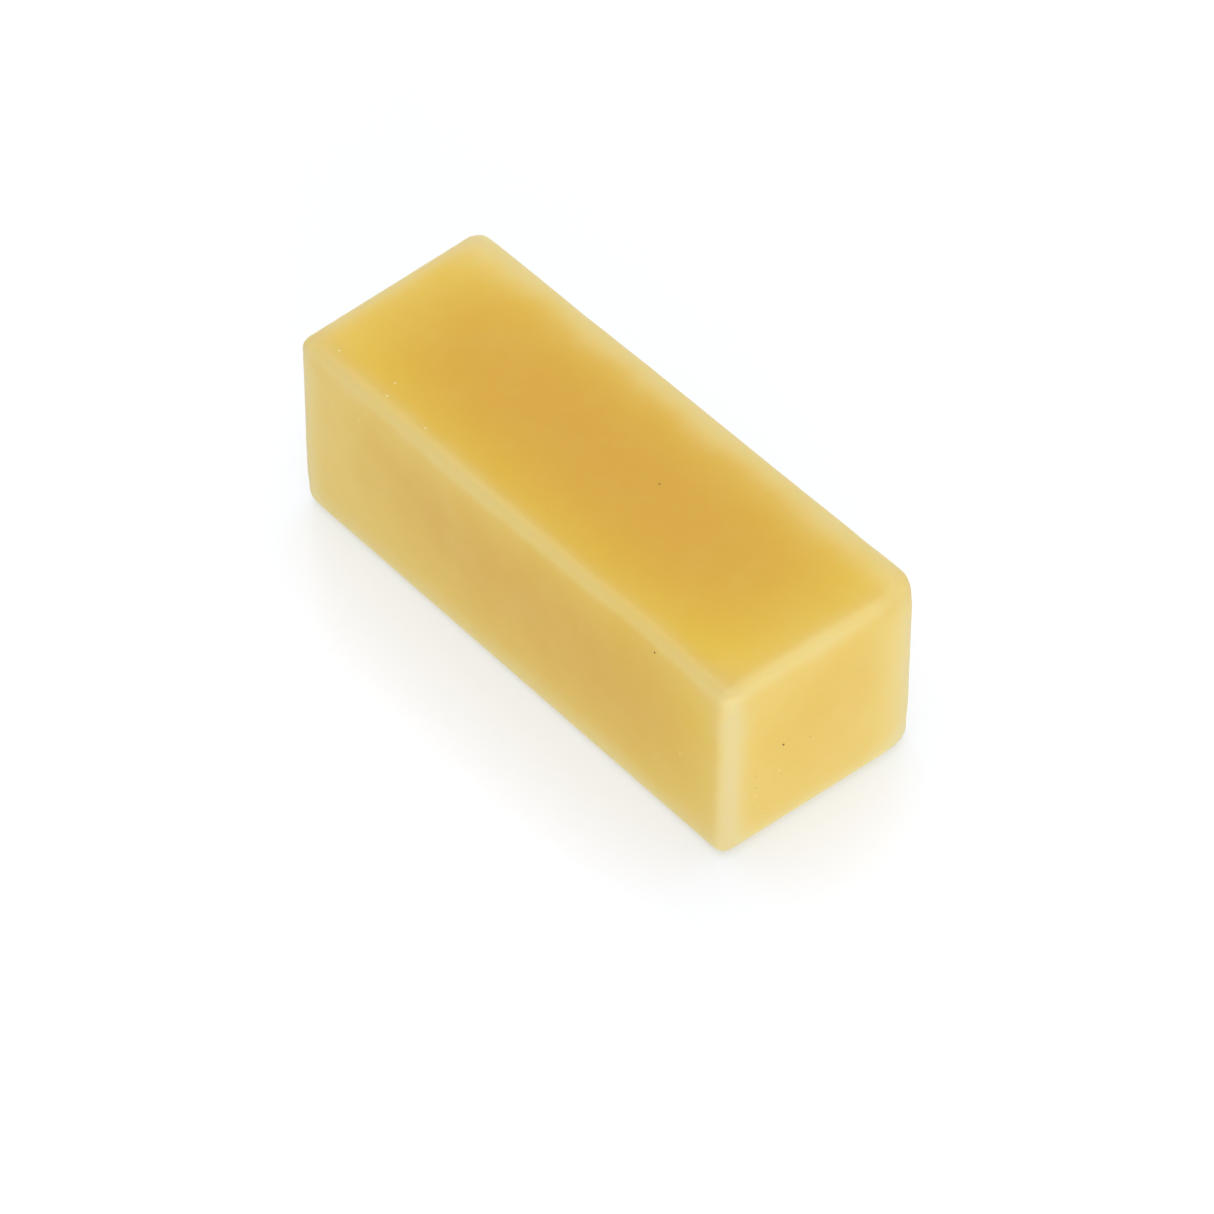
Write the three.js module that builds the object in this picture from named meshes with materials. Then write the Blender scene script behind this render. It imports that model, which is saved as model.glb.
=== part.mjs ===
// Clay bar for cleaning car paint: one solid block of kneadable, translucent yellow clay.
//
// The block was pressed in an open mould and cut to length at both ends. Its walls draw in a
// little towards the top, its ends are a degree or two out of square, and every edge is softly
// rounded. It is a single piece with nothing inside it and nothing fastened to it.
//
// Units are millimetres, +Z is up. The origin is the middle of the underside, the length runs
// along X, and the width along Y. The longer of the two long sides faces +Y.

import * as THREE from 'three';

// ---- driving dimensions ----------------------------------------------------------------------

const LENGTH = 77.5; // between the two cut ends, along the middle of the bar
const WIDTH = 30; // between the two long sides, half way up
const HEIGHT = 27;

const END_SKEW = THREE.MathUtils.degToRad(1.9); // each end face is turned this far out of square
const DRAFT = THREE.MathUtils.degToRad(0.6); // each upright wall leans in this far

const EDGE_RADIUS = 1.6; // round along the top and bottom edges
const EDGE_STEPS = 6; // flats that make up that round

// radius of each upright edge, named by where it stands on the plan
const CORNER_RADIUS = {
  frontLeft: 1.7,
  frontRight: 2.0,
  backRight: 5.1,
  backLeft: 2.6,
};
const CORNER_STEPS = 10; // flats around each upright edge

const CLAY_COLOUR = 0xdcae4e;
const CLAY_ROUGHNESS = 0.42;

// ---- plan outline ----------------------------------------------------------------------------

/**
 * The bar's four-sided plan, anticlockwise from the front left corner. The two ends are skewed
 * in opposite ways, so the side at +Y is the longer one.
 */
function planCorners() {
  const halfWidth = WIDTH / 2;
  const skewShift = halfWidth * Math.tan(END_SKEW);
  const frontHalf = LENGTH / 2 - skewShift;
  const backHalf = LENGTH / 2 + skewShift;
  return [
    { point: new THREE.Vector2(-frontHalf, -halfWidth), radius: CORNER_RADIUS.frontLeft },
    { point: new THREE.Vector2(frontHalf, -halfWidth), radius: CORNER_RADIUS.frontRight },
    { point: new THREE.Vector2(backHalf, halfWidth), radius: CORNER_RADIUS.backRight },
    { point: new THREE.Vector2(-backHalf, halfWidth), radius: CORNER_RADIUS.backLeft },
  ];
}

/** The arc that rounds one corner: its centre, and where it starts and ends on the two sides. */
function cornerArc(previous, corner, next) {
  const toPrevious = previous.point.clone().sub(corner.point).normalize();
  const toNext = next.point.clone().sub(corner.point).normalize();
  const halfAngle = Math.acos(toPrevious.dot(toNext)) / 2;
  const tangentLength = corner.radius / Math.tan(halfAngle);
  const bisector = toPrevious.clone().add(toNext).normalize();
  return {
    centre: bisector.multiplyScalar(corner.radius / Math.sin(halfAngle)).add(corner.point),
    start: toPrevious.multiplyScalar(tangentLength).add(corner.point),
    end: toNext.multiplyScalar(tangentLength).add(corner.point),
  };
}

/** The rounded plan as a list of points: an arc at each corner, with straight sides between. */
function planOutline() {
  const corners = planCorners();
  const points = [];
  corners.forEach((corner, index) => {
    const previous = corners[(index + corners.length - 1) % corners.length];
    const next = corners[(index + 1) % corners.length];
    const { centre, start, end } = cornerArc(previous, corner, next);
    const startAngle = start.sub(centre).angle();
    let sweep = end.sub(centre).angle() - startAngle;
    if (sweep < 0) sweep += 2 * Math.PI;
    for (let step = 0; step <= CORNER_STEPS; step += 1) {
      const angle = startAngle + (sweep * step) / CORNER_STEPS;
      points.push(
        new THREE.Vector2(
          centre.x + corner.radius * Math.cos(angle),
          centre.y + corner.radius * Math.sin(angle),
        ),
      );
    }
  });
  return points;
}

// ---- solid -----------------------------------------------------------------------------------

/** Leans every upright wall in towards the top, with the stated sizes holding half way up. */
function leanWalls(geometry) {
  const position = geometry.getAttribute('position');
  const slope = Math.tan(DRAFT);
  for (let index = 0; index < position.count; index += 1) {
    const inset = slope * (position.getZ(index) - HEIGHT / 2);
    position.setX(index, position.getX(index) * (1 - inset / (LENGTH / 2)));
    position.setY(index, position.getY(index) * (1 - inset / (WIDTH / 2)));
  }
  position.needsUpdate = true;
}

/** The block: its plan drawn up to full height, with a round along the top and bottom edges. */
function clayBlock() {
  const geometry = new THREE.ExtrudeGeometry(new THREE.Shape(planOutline()), {
    depth: HEIGHT - 2 * EDGE_RADIUS,
    bevelEnabled: true,
    bevelThickness: EDGE_RADIUS,
    bevelSize: EDGE_RADIUS,
    bevelOffset: -EDGE_RADIUS,
    bevelSegments: EDGE_STEPS,
  });
  geometry.translate(0, 0, EDGE_RADIUS);
  leanWalls(geometry);
  return geometry;
}

const clay = new THREE.MeshStandardMaterial({
  color: CLAY_COLOUR,
  roughness: CLAY_ROUGHNESS,
  metalness: 0,
});

const clayBar = new THREE.Mesh(clayBlock(), clay);
clayBar.name = 'clay_bar';

const assembly = new THREE.Group();
assembly.add(clayBar);

export default assembly;
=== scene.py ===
"""A bar of paint-cleaning clay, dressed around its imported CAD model.

The bar is one lump of translucent honey-yellow clay. Its block is shaped from a cube: the walls
are leaned, the cut ends are turned a little out of square, each edge gets its own rounding, and
the skin is then pressed and made a little uneven, as on a bar that has been handled. Dust grains
and pin bubbles sit in the skin.

Units are metres. +Z is up, the length runs along X, and the underside rests on Z = 0.
"""

import logging
import math
import random
from collections.abc import Iterable, Sequence
from dataclasses import dataclass, field
from enum import Enum
from typing import Any

import bpy
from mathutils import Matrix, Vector


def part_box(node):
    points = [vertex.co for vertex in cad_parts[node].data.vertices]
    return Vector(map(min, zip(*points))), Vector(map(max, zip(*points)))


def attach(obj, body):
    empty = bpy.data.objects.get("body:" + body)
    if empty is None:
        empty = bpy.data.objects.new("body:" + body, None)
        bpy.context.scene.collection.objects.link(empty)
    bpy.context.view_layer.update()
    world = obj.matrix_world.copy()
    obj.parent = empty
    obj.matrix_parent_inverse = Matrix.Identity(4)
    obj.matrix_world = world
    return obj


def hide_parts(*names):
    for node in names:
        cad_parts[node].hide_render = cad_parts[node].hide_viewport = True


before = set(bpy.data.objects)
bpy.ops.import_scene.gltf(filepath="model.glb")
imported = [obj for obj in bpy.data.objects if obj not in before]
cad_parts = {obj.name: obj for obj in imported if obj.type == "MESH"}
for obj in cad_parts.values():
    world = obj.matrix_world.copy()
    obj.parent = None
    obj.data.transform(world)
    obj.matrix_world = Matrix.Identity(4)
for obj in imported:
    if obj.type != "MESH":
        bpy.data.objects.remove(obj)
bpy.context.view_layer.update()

log = logging.getLogger("clay_bar")

MM = 0.001
BODY = "root"
CAD_NODE = "clay_bar"

Colour = tuple[float, float, float]
WHITE = (1.0, 1.0, 1.0, 1.0)


# ---- shader arithmetic -----------------------------------------------------------------------


class Shade:
    """A shader value: an output socket that plain Python arithmetic can be done on."""

    def __init__(self, bench: "Bench", socket: bpy.types.NodeSocket) -> None:
        """Wraps one socket.

        Args:
            bench: The node bench that further nodes are added to.
            socket: The output socket that holds the value.
        """
        self.bench = bench
        self.socket = socket

    def __add__(self, other: "Shade | float") -> "Shade":
        """This value plus another."""
        return self.bench.maths("ADD", self, other)

    def __radd__(self, other: float) -> "Shade":
        """A number plus this value."""
        return self.bench.maths("ADD", other, self)

    def __sub__(self, other: "Shade | float") -> "Shade":
        """This value less another."""
        return self.bench.maths("SUBTRACT", self, other)

    def __rsub__(self, other: float) -> "Shade":
        """A number less this value."""
        return self.bench.maths("SUBTRACT", other, self)

    def __mul__(self, other: "Shade | float") -> "Shade":
        """This value times another."""
        return self.bench.maths("MULTIPLY", self, other)

    def __rmul__(self, other: float) -> "Shade":
        """A number times this value."""
        return self.bench.maths("MULTIPLY", other, self)

    def __truediv__(self, other: "Shade | float") -> "Shade":
        """This value divided by another."""
        return self.bench.maths("DIVIDE", self, other)

    def __neg__(self) -> "Shade":
        """This value with its sign turned."""
        return self.bench.maths("MULTIPLY", self, -1.0)

    def exp(self) -> "Shade":
        """e to the power of this value."""
        return self.bench.maths("EXPONENT", self)

    def clamped(self) -> "Shade":
        """This value held between 0 and 1."""
        return self.bench.maths("MAXIMUM", self.bench.maths("MINIMUM", self, 1.0), 0.0)


class Bench:
    """The node tree of one material, and the one place where its nodes are made."""

    def __init__(self, name: str) -> None:
        """Starts an empty material.

        Args:
            name: The material's name.
        """
        self.material = bpy.data.materials.new(name)
        self.material.use_nodes = True
        self.tree = self.material.node_tree
        self.tree.nodes.clear()

    def node(
        self,
        kind: str,
        settings: dict[str, Any] | None = None,
        inputs: dict[str | int, Any] | None = None,
    ) -> bpy.types.Node:
        """Adds one node.

        Args:
            kind: The node's Blender type.
            settings: The node's own settings, set before its sockets.
            inputs: What each input socket is given, a value or a Shade, by name or number.

        Returns:
            The new node.
        """
        made = self.tree.nodes.new(kind)
        for key, value in (settings or {}).items():
            setattr(made, key, value)
        for key, value in (inputs or {}).items():
            if isinstance(value, Shade):
                self.tree.links.new(value.socket, made.inputs[key])
            else:
                made.inputs[key].default_value = value
        return made

    def maths(self, operation: str, *values: "Shade | float") -> Shade:
        """A Math node on one or two values."""
        made = self.node("ShaderNodeMath", {"operation": operation}, dict(enumerate(values)))
        return Shade(self, made.outputs[0])

    def blend(self, factor: "Shade | float", first: Any, second: Any) -> Shade:
        """Mixes two colours.

        Args:
            factor: 0 for the first colour, 1 for the second.
            first: A colour with alpha, or a Shade.
            second: A colour with alpha, or a Shade.

        Returns:
            The mixed colour.
        """
        # sockets 0, 6 and 7 of a colour Mix are its factor and its two colours
        made = self.node(
            "ShaderNodeMix",
            {"data_type": "RGBA", "clamp_factor": True},
            {0: factor, 6: first, 7: second},
        )
        return Shade(self, made.outputs[2])

    def place(self) -> Shade:
        """Where a point of the piece is, in metres."""
        return Shade(self, self.node("ShaderNodeTexCoord").outputs["Object"])

    def axes(self, vector: Shade) -> tuple[Shade, Shade, Shade]:
        """Takes a vector apart.

        Args:
            vector: The vector.

        Returns:
            Its X, Y and Z parts.
        """
        made = self.node("ShaderNodeSeparateXYZ", inputs={0: vector})
        x, y, z = (Shade(self, socket) for socket in made.outputs)
        return x, y, z

    def noise(self, vector: Shade, grain: float, detail: float = 2.0) -> Shade:
        """Soft noise from 0 to 1.

        Args:
            vector: The coordinates that it follows.
            grain: The rough size of one blob, in metres.
            detail: How many finer layers lie on it.

        Returns:
            The noise value.
        """
        made = self.node(
            "ShaderNodeTexNoise",
            {"noise_dimensions": "3D"},
            {"Vector": vector, "Scale": 1.0 / grain, "Detail": detail},
        )
        return Shade(self, made.outputs["Fac"])

    def finish(self, surface: bpy.types.Node) -> bpy.types.Material:
        """Plugs the surface shader in.

        Args:
            surface: The node whose first output is the finished surface.

        Returns:
            The finished material.
        """
        output = self.tree.nodes.new("ShaderNodeOutputMaterial")
        self.tree.links.new(surface.outputs[0], output.inputs["Surface"])
        return self.material


# ---- the block -------------------------------------------------------------------------------


class Wall(Enum):
    """The six walls of the bar, named for the way that they face. The front faces -Y."""

    RIGHT = "right"
    LEFT = "left"
    BACK = "back"
    FRONT = "front"
    TOP = "top"
    FOOT = "foot"


@dataclass(frozen=True)
class BarShape:
    """The bar's driving sizes, in metres and radians. They are those of the CAD solid."""

    length: float
    width: float
    height: float
    end_skew: float = math.radians(1.9)
    draft: float = math.radians(0.6)

    @classmethod
    def from_frame(cls) -> "BarShape":
        """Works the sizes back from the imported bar's box.

        Returns:
            The bar's shape.
        """
        low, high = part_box(CAD_NODE)
        width_at_foot = high[1] - low[1]
        height = high[2] - low[2]
        lean = height * math.tan(cls.draft)
        width = width_at_foot - lean
        skew_shift = width * math.tan(cls.end_skew)
        return cls(high[0] - low[0] - lean - skew_shift, width, height)

    def wall_distances(self, x: Any, y: Any, z: Any) -> dict[Wall, Any]:
        """How far a point is inside each of the six walls.

        Args:
            x: The point's place along the bar, a number or a Shade.
            y: Its place across the bar.
            z: Its height.

        Returns:
            The distance to each wall.
        """
        half_length = y * math.tan(self.end_skew) + self.length / 2
        return {
            Wall.RIGHT: half_length - x,
            Wall.LEFT: half_length + x,
            Wall.BACK: self.width / 2 - y,
            Wall.FRONT: self.width / 2 + y,
            Wall.TOP: self.height - z,
            Wall.FOOT: z,
        }

    def on_wall(self, wall: Wall, first: float, second: float) -> Vector:
        """A point on one of the plain walls.

        Args:
            wall: The wall.
            first: The place along X, or along Y on an end.
            second: The place along Y on the top or foot, and the height on any other wall.

        Returns:
            The point, in metres.
        """
        half_length, half_width = self.length / 2, self.width / 2
        points = {
            Wall.RIGHT: (half_length, first, second),
            Wall.LEFT: (-half_length, first, second),
            Wall.BACK: (first, half_width, second),
            Wall.FRONT: (first, -half_width, second),
            Wall.TOP: (first, second, self.height),
            Wall.FOOT: (first, second, 0.0),
        }
        return Vector(points[wall])


@dataclass(frozen=True)
class Rounding:
    """How far each of the twelve edges is rounded over, in metres."""

    top_front: float = 1.5 * MM
    top_back: float = 3.4 * MM
    top_left: float = 1.5 * MM
    top_right: float = 1.5 * MM
    foot_front: float = 1.5 * MM
    foot_back: float = 2.4 * MM
    foot_left: float = 2.4 * MM
    foot_right: float = 2.0 * MM
    front_left: float = 1.4 * MM
    front_right: float = 1.7 * MM
    back_left: float = 2.5 * MM
    back_right: float = 4.4 * MM

    def of_edge(self, middle: Vector, height: float) -> float:
        """The rounding of the block's edge whose middle is given.

        Args:
            middle: The middle of a straight edge of the plain block.
            height: The block's height.

        Returns:
            That edge's radius.
        """
        end = "right" if middle.x > 0 else "left"
        side = "back" if middle.y > 0 else "front"
        level = "top" if middle.z > height / 2 else "foot"
        nearby = height / 4
        if abs(middle.z - height / 2) < nearby:
            return getattr(self, f"{side}_{end}")
        runs_along_length = abs(middle.x) < nearby
        return getattr(self, f"{level}_{side if runs_along_length else end}")

    def largest(self) -> float:
        """The widest rounding of all."""
        return max(vars(self).values())


@dataclass(frozen=True)
class Press:
    """A soft push on the clay, which carries the skin around it along. All sizes are in mm."""

    place: tuple[float, float, float]
    push: tuple[float, float, float]
    reach: float


HANDLING = (
    # the front top edge, let out in its middle and drawn back towards the right end
    Press((-6.0, -15.0, 27.0), (0.0, -0.20, 0.05), 16.0),
    Press((23.0, -15.0, 27.0), (0.0, 0.40, -0.05), 11.0),
    # a faint nick in the back top edge, near the right end
    Press((29.0, 14.0, 26.5), (0.0, -0.05, -0.05), 3.5),
    # worn corners: the back right one at the top and the foot, and the front left one at the foot
    Press((38.5, 12.0, 26.5), (-0.80, -0.35, -0.25), 5.0),
    Press((38.6, 12.5, 2.0), (-0.22, -0.12, 0.0), 4.0),
    Press((-38.8, -14.8, 1.5), (0.20, 0.10, 0.0), 4.0),
    # fingertip hollows in the front, the back and the left end
    Press((-14.0, -15.0, 13.0), (0.0, 0.22, 0.0), 11.0),
    Press((12.0, 15.0, 14.0), (0.0, -0.30, 0.0), 12.0),
    Press((-38.0, 3.0, 14.0), (0.25, 0.0, 0.0), 9.0),
    # a slight flat on the back top edge
    Press((-20.0, 14.0, 26.0), (0.0, -0.05, -0.07), 9.0),
)


@dataclass(frozen=True)
class Wave:
    """One layer of unevenness of the skin."""

    name: str
    size: float
    depth: float


WAVES = (
    Wave("broad_waves", 16.0 * MM, 0.11 * MM),
    Wave("fine_waves", 2.6 * MM, 0.04 * MM),
)


def deselect_all() -> None:
    """Leaves object mode with nothing selected."""
    if bpy.context.mode != "OBJECT":
        bpy.ops.object.mode_set(mode="OBJECT")
    bpy.ops.object.select_all(action="DESELECT")


@dataclass
class ClayBlock:
    """The lump of clay itself.

    The grid is how many cuts are laid across the length, the width and the height. The skin is
    even up to the level of even_foot, and every point below flat_foot lies on the ground.
    """

    shape: BarShape
    rounding: Rounding = field(default_factory=Rounding)
    round_steps: int = 8
    grid: tuple[int, int, int] = (90, 35, 31)
    long_edge_share: float = 0.5
    even_foot: float = 1.5 * MM
    flat_foot: float = 0.02 * MM
    piece: bpy.types.Object | None = None

    def build(self) -> bpy.types.Object:
        """Shapes the block from a cube.

        Returns:
            The finished piece.
        """
        self._cut_block()
        self._lean_walls()
        self._skew_ends()
        self._round_edges()
        self._lay_grid()
        for press in HANDLING:
            self._push(press)
        self._smooth_skin()
        self._wave_walls()
        self._flatten_foot()
        return self.piece

    def _cut_block(self) -> None:
        """Adds the plain block at its size and place."""
        deselect_all()
        shape = self.shape
        bpy.ops.mesh.primitive_cube_add(size=1.0, location=(0.0, 0.0, shape.height / 2))
        self.piece = bpy.context.object
        self.piece.name = "clay_lump"
        self.piece.scale = (shape.length, shape.width, shape.height)
        bpy.ops.object.transform_apply(location=True, rotation=True, scale=True)

    def _select(self, kind: str, chosen: Iterable[int]) -> None:
        """Selects some of the mesh and opens it for editing.

        Args:
            kind: VERT or EDGE.
            chosen: The numbers of the elements to select.
        """
        bpy.ops.object.mode_set(mode="EDIT")
        bpy.ops.mesh.select_mode(type=kind)
        bpy.ops.mesh.select_all(action="DESELECT")
        bpy.ops.object.mode_set(mode="OBJECT")
        mesh = self.piece.data
        elements = {"VERT": mesh.vertices, "EDGE": mesh.edges}[kind]
        for number in chosen:
            elements[number].select = True
        bpy.ops.object.mode_set(mode="EDIT")

    def _lean_walls(self) -> None:
        """Draws the top in and lets the foot out, so that the sizes hold half way up."""
        shape = self.shape
        lean = shape.height / 2 * math.tan(shape.draft)
        for level, sign in ((shape.height, -1.0), (0.0, 1.0)):
            vertices = self.piece.data.vertices
            self._select("VERT", [v.index for v in vertices if abs(v.co.z - level) < MM])
            bpy.ops.transform.resize(
                value=(
                    1 + sign * lean / (shape.length / 2),
                    1 + sign * lean / (shape.width / 2),
                    1.0,
                ),
                center_override=(0.0, 0.0, level),
            )
            bpy.ops.object.mode_set(mode="OBJECT")

    def _skew_ends(self) -> None:
        """Slides the corners so that both ends stand out of square and the back is longer."""
        shift = self.shape.width / 2 * math.tan(self.shape.end_skew)
        for end in (-1, 1):
            for side in (-1, 1):
                vertices = self.piece.data.vertices
                self._select(
                    "VERT",
                    [v.index for v in vertices if v.co.x * end > 0 and v.co.y * side > 0],
                )
                bpy.ops.transform.translate(value=(end * side * shift, 0.0, 0.0))
                bpy.ops.object.mode_set(mode="OBJECT")

    def _round_edges(self) -> None:
        """Rounds each of the twelve edges by its own radius."""
        mesh = self.piece.data
        weights = mesh.attributes.new("bevel_weight_edge", "FLOAT", "EDGE")
        widest = self.rounding.largest()
        for edge in mesh.edges:
            ends = [mesh.vertices[number].co for number in edge.vertices]
            radius = self.rounding.of_edge((ends[0] + ends[1]) / 2, self.shape.height)
            weights.data[edge.index].value = radius / widest
        bevel = self.piece.modifiers.new("rounding", "BEVEL")
        bevel.limit_method = "WEIGHT"
        bevel.width = widest
        bevel.segments = self.round_steps
        bevel.use_clamp_overlap = False
        bpy.ops.object.modifier_apply(modifier=bevel.name)

    def _lay_grid(self) -> None:
        """Divides the long straight edges, so that every wall gets an even grid."""
        sizes = (self.shape.length, self.shape.width, self.shape.height)
        for axis, cuts in enumerate(self.grid):
            mesh = self.piece.data
            long_edges = []
            for edge in mesh.edges:
                start, end = (mesh.vertices[number].co for number in edge.vertices)
                if abs(end[axis] - start[axis]) > sizes[axis] * self.long_edge_share:
                    long_edges.append(edge.index)
            self._select("EDGE", long_edges)
            bpy.ops.mesh.subdivide(number_cuts=cuts, smoothness=0.0)
            bpy.ops.object.mode_set(mode="OBJECT")

    def _push(self, press: Press) -> None:
        """Pushes the skin at one point, with a smooth fall-off around it.

        Args:
            press: The push.
        """
        place = Vector(press.place) * MM
        nearest = min(self.piece.data.vertices, key=lambda vertex: (vertex.co - place).length)
        self._select("VERT", [nearest.index])
        bpy.ops.transform.translate(
            value=Vector(press.push) * MM,
            use_proportional_edit=True,
            proportional_edit_falloff="SMOOTH",
            proportional_size=press.reach * MM,
        )
        bpy.ops.object.mode_set(mode="OBJECT")

    def _smooth_skin(self) -> None:
        """Smooths the skin over the joins of flats and rounds."""
        smooth = self.piece.modifiers.new("skin", "SUBSURF")
        smooth.levels = smooth.render_levels = 1
        bpy.ops.object.modifier_apply(modifier=smooth.name)
        bpy.ops.object.mode_set(mode="OBJECT")
        self.piece.select_set(True)
        bpy.ops.object.shade_smooth()

    def _wave_walls(self) -> None:
        """Gives the walls the slight unevenness of pressed clay, and leaves the foot flat."""
        free = self.piece.vertex_groups.new(name="free_skin")
        for vertex in self.piece.data.vertices:
            lift = (vertex.co.z - self.even_foot) / self.even_foot
            free.add([vertex.index], min(max(lift, 0.0), 1.0), "REPLACE")
        for wave in WAVES:
            texture = bpy.data.textures.new(wave.name, "CLOUDS")
            texture.noise_scale = wave.size
            displace = self.piece.modifiers.new(wave.name, "DISPLACE")
            displace.texture = texture
            displace.texture_coords = "LOCAL"
            displace.mid_level = 0.5
            displace.strength = wave.depth
            displace.vertex_group = free.name
            bpy.ops.object.modifier_apply(modifier=displace.name)

    def _flatten_foot(self) -> None:
        """Presses the underside flat on the ground."""
        self._select("VERT", [v.index for v in self.piece.data.vertices if v.co.z < self.flat_foot])
        bpy.ops.transform.resize(value=(1.0, 1.0, 0.0), center_override=(0.0, 0.0, 0.0))
        bpy.ops.object.mode_set(mode="OBJECT")


class SpeckKind(Enum):
    """What a speck in the skin is."""

    DUST = "dust_grains"
    BUBBLE = "pin_bubbles"


@dataclass(frozen=True)
class Speck:
    """One speck in the skin. Its place follows BarShape.on_wall. All sizes are in mm."""

    wall: Wall
    first: float
    second: float
    size: float


SPECKS = {
    SpeckKind.DUST: (
        Speck(Wall.RIGHT, -6.5, 14.0, 0.30),
        Speck(Wall.RIGHT, -2.5, 12.5, 0.14),
        Speck(Wall.RIGHT, -10.5, 11.5, 0.12),
        Speck(Wall.RIGHT, -10.5, 9.5, 0.13),
        Speck(Wall.FRONT, 25.5, 24.5, 0.28),
        Speck(Wall.TOP, 8.0, 1.5, 0.24),
    ),
    SpeckKind.BUBBLE: (
        Speck(Wall.TOP, -33.0, -12.5, 0.28),
        Speck(Wall.FRONT, -37.0, 25.0, 0.28),
        Speck(Wall.TOP, -24.5, -11.0, 0.27),
        Speck(Wall.TOP, -23.5, -13.0, 0.28),
        Speck(Wall.TOP, -16.5, -13.0, 0.27),
        Speck(Wall.FRONT, -31.5, 20.5, 0.22),
        Speck(Wall.FRONT, -26.5, 22.0, 0.23),
        Speck(Wall.FRONT, -23.0, 3.0, 0.20),
        Speck(Wall.FRONT, 30.5, 12.0, 0.20),
        Speck(Wall.RIGHT, -7.0, 10.0, 0.25),
        Speck(Wall.RIGHT, -12.0, 9.0, 0.25),
        Speck(Wall.RIGHT, -11.5, 7.5, 0.20),
        Speck(Wall.RIGHT, -10.5, 8.0, 0.22),
        Speck(Wall.RIGHT, -10.0, 6.0, 0.19),
        Speck(Wall.RIGHT, -9.5, 4.0, 0.27),
    ),
}


@dataclass
class Specks:
    """Dust and pin-sized bubbles caught in the skin of the lump.

    The back and the left end have hidden_each scattered specks of each kind, of a size between
    the two hidden_sizes, and none within the rim of the wall. The sizes and the rim are in mm.
    """

    shape: BarShape
    lump: bpy.types.Object
    fineness: int = 2
    flatness: float = 0.6
    hidden_each: int = 5
    hidden_sizes: tuple[float, float] = (0.18, 0.34)
    rim: float = 3.0

    def build(self, kind: SpeckKind, finish: bpy.types.Material) -> bpy.types.Object:
        """Models every speck of one kind as one piece.

        Args:
            kind: Which specks.
            finish: Their material.

        Returns:
            The finished piece.
        """
        deselect_all()
        grains = [self._set_in(speck) for speck in (*SPECKS[kind], *self._hidden(kind))]
        for grain in grains:
            grain.select_set(True)
        bpy.context.view_layer.objects.active = grains[0]
        bpy.ops.object.join()
        piece = bpy.context.object
        piece.name = kind.value
        bpy.ops.object.transform_apply(location=True, rotation=True, scale=True)
        bpy.ops.object.shade_smooth()
        piece.data.materials.append(finish)
        return piece

    def _hidden(self, kind: SpeckKind) -> list[Speck]:
        """Scatters specks over the back and the left end, the same on every run.

        Args:
            kind: Which specks.

        Returns:
            The scattered specks.
        """
        draw = random.Random(kind.value)
        half_length, half_width = self.shape.length / MM / 2, self.shape.width / MM / 2
        specks = []
        for wall, reach in ((Wall.BACK, half_length), (Wall.LEFT, half_width)):
            for _ in range(self.hidden_each):
                first = draw.uniform(self.rim - reach, reach - self.rim)
                second = draw.uniform(self.rim, self.shape.height / MM - self.rim)
                specks.append(Speck(wall, first, second, draw.uniform(*self.hidden_sizes)))
        return specks

    def _set_in(self, speck: Speck) -> bpy.types.Object:
        """Sets one speck half into the skin, a little flattened along the wall's normal.

        Args:
            speck: The speck.

        Returns:
            Its mesh object, not yet joined to the others.
        """
        aim = self.shape.on_wall(speck.wall, speck.first * MM, speck.second * MM)
        _, place, normal, _ = self.lump.closest_point_on_mesh(aim)
        bpy.ops.mesh.primitive_ico_sphere_add(
            subdivisions=self.fineness, radius=speck.size / 2 * MM
        )
        grain = bpy.context.object
        grain.location = place
        grain.rotation_euler = normal.to_track_quat("Z", "Y").to_euler()
        grain.scale = (1.0, 1.0, self.flatness)
        grain.select_set(False)
        return grain


# ---- finishes --------------------------------------------------------------------------------


@dataclass(frozen=True)
class Reach:
    """How far a tint reaches in from the edge with each wall, in mm."""

    right: float
    left: float
    back: float
    front: float
    top: float
    foot: float

    def of(self, wall: Wall) -> float:
        """The reach from one wall, in metres."""
        return getattr(self, wall.value) * MM


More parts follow.
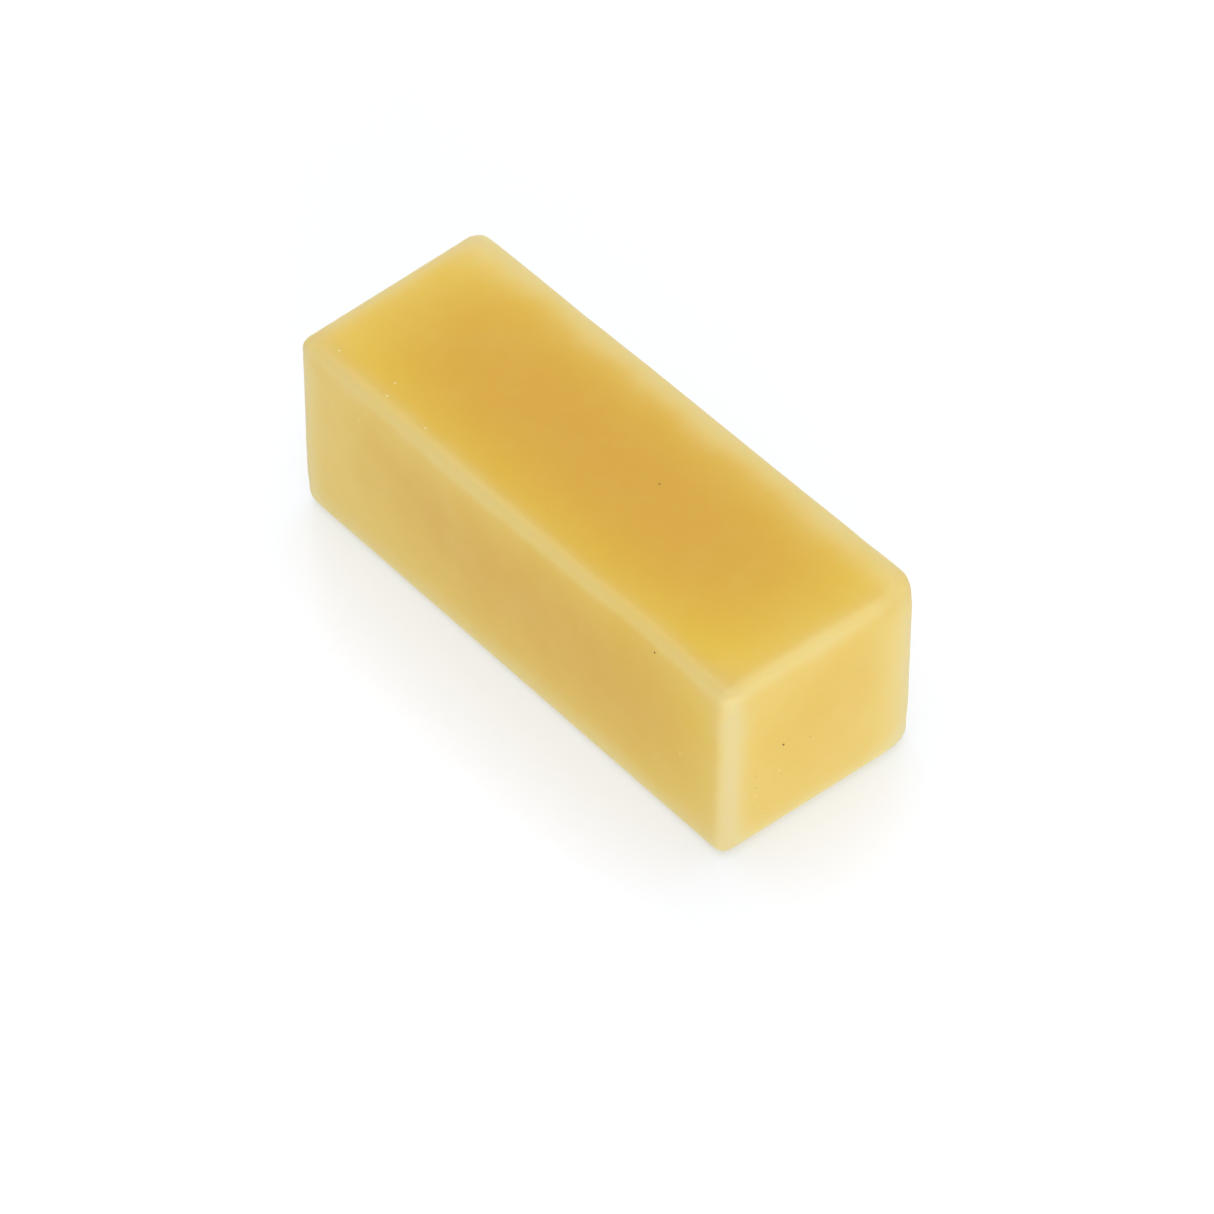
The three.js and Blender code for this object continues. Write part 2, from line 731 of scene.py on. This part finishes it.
@dataclass(frozen=True)
class ClayFinish:
    """Translucent honey-yellow clay.

    The colour is deepest in the middle of a wall, where the light has the most clay to cross. It
    turns golden, then lemon yellow, cream and at last ivory as the clay thins towards an edge:
    these tints are painted light, the glow of light scattered through the thin clay, and they
    reach differently on the top and on the other walls as the light falls there.
    Along the front and right top edges a painted shade darkens the crest a little, toning down
    the light on their rounding.
    """

    shape: BarShape
    core: Colour = (0.586, 0.297, 0.026)
    # painted light: golden, lemon, cream and ivory paint the glow of light through the thin clay
    # near the edges
    golden: Colour = (0.690, 0.455, 0.001)
    lemon: Colour = (0.730, 0.519, 0.114)
    cream: Colour = (0.749, 0.640, 0.276)
    ivory: Colour = (0.666, 0.549, 0.260)
    # painted shade: a darker tint for the crest of the top front and top right edges
    crest_shade: Colour = (0.463, 0.262, 0.005)
    golden_reach: float = 7.0 * MM
    # the painted glow reaches differently on the top and on the other walls, as the light falls on
    # them
    lemon_on_top: Reach = Reach(4.0, 5.4, 3.3, 2.2, 2.7, 5.5)
    lemon_on_sides: Reach = Reach(3.1, 14.9, 16.4, 9.2, 2.5, 7.1)
    cream_on_top: Reach = Reach(1.5, 1.5, 3.8, 1.6, 1.4, 2.5)
    cream_on_sides: Reach = Reach(1.4, 2.9, 5.6, 2.3, 1.2, 2.8)
    cream_strength: float = 0.9
    ivory_on_top: Reach = Reach(0.3, 1.9, 2.6, 0.3, 0.3, 0.3)
    ivory_on_sides: Reach = Reach(0.9, 1.5, 3.0, 2.3, 0.3, 0.8)
    ivory_strength: float = 0.85
    # where and how strongly the painted crest shade lies along the top front and top right edges
    crest_shade_inwards: float = 2.8 * MM
    crest_shade_down: float = 0.8 * MM
    crest_shade_front: float = 0.28
    crest_shade_right: float = 0.09
    top_band: float = 1.5 * MM
    wander: float = 0.25
    wander_size: float = 7.0 * MM
    blotch: float = 0.16
    blotch_size: float = 4.5 * MM
    relief: float = 0.30
    relief_depth: float = 0.05 * MM
    relief_size: float = 0.5 * MM
    gloss_size: float = 1.6 * MM
    least_roughness: float = 0.40
    roughness_spread: float = 0.10
    refraction: float = 1.48
    scatter: float = 0.5
    scatter_radius: Colour = (1.0, 0.55, 0.2)
    scatter_scale: float = 1.2 * MM

    def make(self) -> bpy.types.Material:
        """Builds the clay's material.

        Returns:
            The material.
        """
        bench = Bench("clay")
        place = bench.place()
        gloss = bench.noise(place, self.gloss_size)
        shader = bench.node(
            "ShaderNodeBsdfPrincipled",
            inputs={
                "Base Color": self._colour(bench, place),
                "Roughness": self.least_roughness + gloss * self.roughness_spread,
                "Normal": self._relief(bench, place),
                "IOR": self.refraction,
                "Subsurface Weight": self.scatter,
                "Subsurface Radius": self.scatter_radius,
                "Subsurface Scale": self.scatter_scale,
            },
        )
        return bench.finish(shader)

    def _colour(self, bench: Bench, place: Shade) -> Shade:
        """Lays the tints over each other, from the core to the painted shade on the top edges.

        Args:
            bench: The material's node bench.
            place: Where the point of the skin is.

        Returns:
            The clay's colour.
        """
        distances = self.shape.wall_distances(*bench.axes(place))
        on_top = (distances[Wall.TOP] / -self.top_band).exp()
        wander = 1.0 + (bench.noise(place, self.wander_size) - 0.5) * (self.wander * 2.0)
        # painted light: the golden, lemon, cream and ivory masks paint the glow of light through
        # the thinner clay near the edges
        golden = self._nearness([distance / self.golden_reach for distance in distances.values()])
        lemon = self._nearness(
            self._shares(distances, on_top, self.lemon_on_top, self.lemon_on_sides, wander)
        )
        cream = self._plateau(
            self._shares(distances, on_top, self.cream_on_top, self.cream_on_sides, wander)
        )
        ivory = self._plateau(
            self._shares(distances, on_top, self.ivory_on_top, self.ivory_on_sides, wander)
        )
        blotches = (bench.noise(place, self.blotch_size, detail=3.0) - 0.5) * self.blotch
        colour = bench.blend(golden, (*self.core, 1.0), (*self.golden, 1.0))
        colour = bench.blend(lemon, colour, (*self.lemon, 1.0))
        colour = bench.blend(blotches, colour, (*self.cream, 1.0))
        colour = bench.blend(cream * self.cream_strength, colour, (*self.cream, 1.0))
        colour = bench.blend(ivory * self.ivory_strength, colour, (*self.ivory, 1.0))
        # painted shade on the crest of the top front and top right edges, toning down the light on
        # their rounding
        for wall, strength in ((Wall.FRONT, self.crest_shade_front), (Wall.RIGHT, self.crest_shade_right)):
            inwards = distances[wall] / self.crest_shade_inwards
            down = distances[Wall.TOP] / self.crest_shade_down
            crest_shade = (-(inwards * inwards) - down * down).exp() * strength
            colour = bench.blend(crest_shade, colour, (*self.crest_shade, 1.0))
        return colour

    def _relief(self, bench: Bench, place: Shade) -> Shade:
        """The fine grain of the skin.

        Args:
            bench: The material's node bench.
            place: Where the point of the skin is.

        Returns:
            The bumped normal.
        """
        grain = bench.noise(place, self.relief_size, detail=3.0)
        bump = bench.node(
            "ShaderNodeBump",
            inputs={"Strength": self.relief, "Distance": self.relief_depth, "Height": grain},
        )
        return Shade(bench, bump.outputs["Normal"])

    @staticmethod
    def _shares(
        distances: dict[Wall, Shade], on_top: Shade, top: Reach, sides: Reach, wander: Shade
    ) -> list[Shade]:
        """Each wall's distance as a share of its tint's reach.

        Args:
            distances: How far the point is inside each wall.
            on_top: 1 on the top, falling to 0 down the other walls.
            top: The reaches on the top.
            sides: The reaches on the other walls.
            wander: What the reach is multiplied by, so that a tint's border isn't ruled.

        Returns:
            The shares.
        """
        shares = []
        for wall, distance in distances.items():
            high, low = top.of(wall), sides.of(wall)
            shares.append(distance / ((low + on_top * (high - low)) * wander))
        return shares

    @staticmethod
    def _nearness(shares: Sequence[Shade]) -> Shade:
        """How near a point of the skin is to the block's edges.

        Args:
            shares: The distance to each wall as a share of the reach from it.

        Returns:
            0 far from every edge, 1 on an edge and up to 2 on a corner.
        """
        return sum((-share).exp() for share in shares) - 1.0

    @classmethod
    def _plateau(cls, shares: Sequence[Shade]) -> Shade:
        """A band along the edges that is even for most of its reach and then ends softly.

        Args:
            shares: The distance to each wall as a share of the reach from it.

        Returns:
            0 far from every edge and 1 on an edge.
        """
        return cls._nearness([share * share for share in shares]).clamped()


@dataclass(frozen=True)
class SpeckFinish:
    """A grain of dust, or the thin skin over a bubble, lightened into a painted glint."""

    name: str
    dark: Colour
    light: Colour
    roughness: float
    spread: float = 2.0 * MM

    def make(self) -> bpy.types.Material:
        """Builds the specks' material, a little different from one speck to the next.

        Returns:
            The material.
        """
        bench = Bench(self.name)
        share = bench.noise(bench.place(), self.spread)
        shader = bench.node(
            "ShaderNodeBsdfPrincipled",
            inputs={
                "Base Color": bench.blend(share, (*self.dark, 1.0), (*self.light, 1.0)),
                "Roughness": self.roughness,
            },
        )
        return bench.finish(shader)


SPECK_FINISHES = {
    SpeckKind.DUST: SpeckFinish("dust", (0.16, 0.07, 0.01), (0.34, 0.18, 0.03), 0.7),
    # painted highlight: the pale colours of the bubble skin stand in for the glint on each bubble
    SpeckKind.BUBBLE: SpeckFinish("bubble_skin", (0.80, 0.64, 0.26), (0.90, 0.79, 0.46), 0.3),
}


@dataclass(frozen=True)
class FloorFinish:
    """A white light table: it glows evenly, and takes only a faint shadow."""

    glow: float = 0.36
    diffuse: Colour = (0.58, 0.61, 0.67)
    roughness: float = 0.2

    def make(self) -> bpy.types.Material:
        """Builds the floor's material.

        Returns:
            The material.
        """
        bench = Bench("white_table")
        shader = bench.node(
            "ShaderNodeBsdfPrincipled",
            inputs={
                "Base Color": (*self.diffuse, 1.0),
                "Roughness": self.roughness,
                "Emission Color": WHITE,
                "Emission Strength": self.glow,
            },
        )
        return bench.finish(shader)


# ---- the studio ------------------------------------------------------------------------------


@dataclass(frozen=True)
class SoftBox:
    """A large soft lamp, aimed at the bar. Angles are in degrees and the power is in watts."""

    name: str
    azimuth: float
    elevation: float
    distance: float
    width: float
    height: float
    power: float

    def hang(self, target: Vector) -> None:
        """Puts the lamp up.

        Args:
            target: The point that it faces.
        """
        back = direction(self.azimuth, self.elevation)
        lamp = bpy.data.lights.new(self.name, "AREA")
        lamp.shape = "RECTANGLE"
        lamp.size = self.width
        lamp.size_y = self.height
        lamp.energy = self.power
        holder = bpy.data.objects.new(self.name, lamp)
        holder.location = target + back * self.distance
        holder.rotation_euler = (-back).to_track_quat("-Z", "Y").to_euler()
        bpy.context.collection.objects.link(holder)


LAMPS = (
    SoftBox("right", 64.0, 10.0, 0.9, 0.8, 0.26, 2.88),
    SoftBox("back_top", 180.0, 72.0, 1.0, 0.9, 0.9, 2.1),
    SoftBox("left_top", 270.0, 72.0, 1.0, 0.9, 0.9, 2.1),
)


def direction(azimuth: float, elevation: float) -> Vector:
    """The direction from the bar to a viewer, both angles in degrees. Azimuth 0 is at -Y."""
    a, e = math.radians(azimuth), math.radians(elevation)
    return Vector((math.sin(a) * math.cos(e), -math.cos(a) * math.cos(e), math.sin(e)))


@dataclass(frozen=True)
class Studio:
    """The floor, lamps, sky and camera. The focal length and the sensor are in mm."""

    middle: Vector
    floor_size: float = 6.0
    sky: float = 0.75
    camera_azimuth: float = 49.18
    camera_elevation: float = 46.36
    camera_distance: float = 595.9 * MM
    focal_length: float = 150.93
    sensor_width: float = 36.0
    nearest_in_view: float = 0.01
    aim_shift: Vector = field(default_factory=lambda: Vector((4.98, -3.82, -5.89)) * MM)

    def set_up(self) -> None:
        """Builds everything around the bar."""
        self._lay_floor()
        self._light()
        self._place_camera()

    def _lay_floor(self) -> None:
        """Lays the plain white floor."""
        deselect_all()
        bpy.ops.mesh.primitive_plane_add(size=self.floor_size)
        floor = bpy.context.object
        floor.name = "floor"
        floor.data.materials.append(FloorFinish().make())

    def _light(self) -> None:
        """Hangs the lamps and sets the sky."""
        world = bpy.data.worlds.new("studio")
        world.use_nodes = True
        backdrop = world.node_tree.nodes["Background"]
        backdrop.inputs["Color"].default_value = WHITE
        backdrop.inputs["Strength"].default_value = self.sky
        scene = bpy.context.scene
        scene.world = world
        scene.view_settings.view_transform = "Standard"
        for lamp in LAMPS:
            lamp.hang(self.middle)

    def _place_camera(self) -> None:
        """Puts the camera up."""
        back = direction(self.camera_azimuth, self.camera_elevation)
        lens = bpy.data.cameras.new("camera")
        lens.lens = self.focal_length
        lens.sensor_width = self.sensor_width
        lens.clip_start = self.nearest_in_view
        camera = bpy.data.objects.new("camera", lens)
        camera.location = self.middle + back * self.camera_distance
        aim = self.middle + self.aim_shift - camera.location
        camera.rotation_euler = aim.to_track_quat("-Z", "Y").to_euler()
        bpy.context.collection.objects.link(camera)
        bpy.context.scene.camera = camera


# ---- assembly --------------------------------------------------------------------------------


def main() -> None:
    """Builds the bar and its studio, and reports each piece."""
    logging.basicConfig(level=logging.INFO, format="%(name)s: %(message)s")
    shape = BarShape.from_frame()
    sizes = (shape.length, shape.width, shape.height)
    log.info("block %.1f x %.1f x %.1f mm", *(size / MM for size in sizes))

    lump = ClayBlock(shape).build()
    lump.data.materials.append(ClayFinish(shape).make())
    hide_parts(CAD_NODE)
    specks = Specks(shape, lump)
    pieces = [lump, *(specks.build(kind, SPECK_FINISHES[kind].make()) for kind in SpeckKind)]
    for piece in pieces:
        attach(piece, BODY)
        log.info("%s: %d faces", piece.name, len(piece.data.polygons))

    Studio(Vector((0.0, 0.0, shape.height / 2))).set_up()


if __name__ == "__main__":
    main()
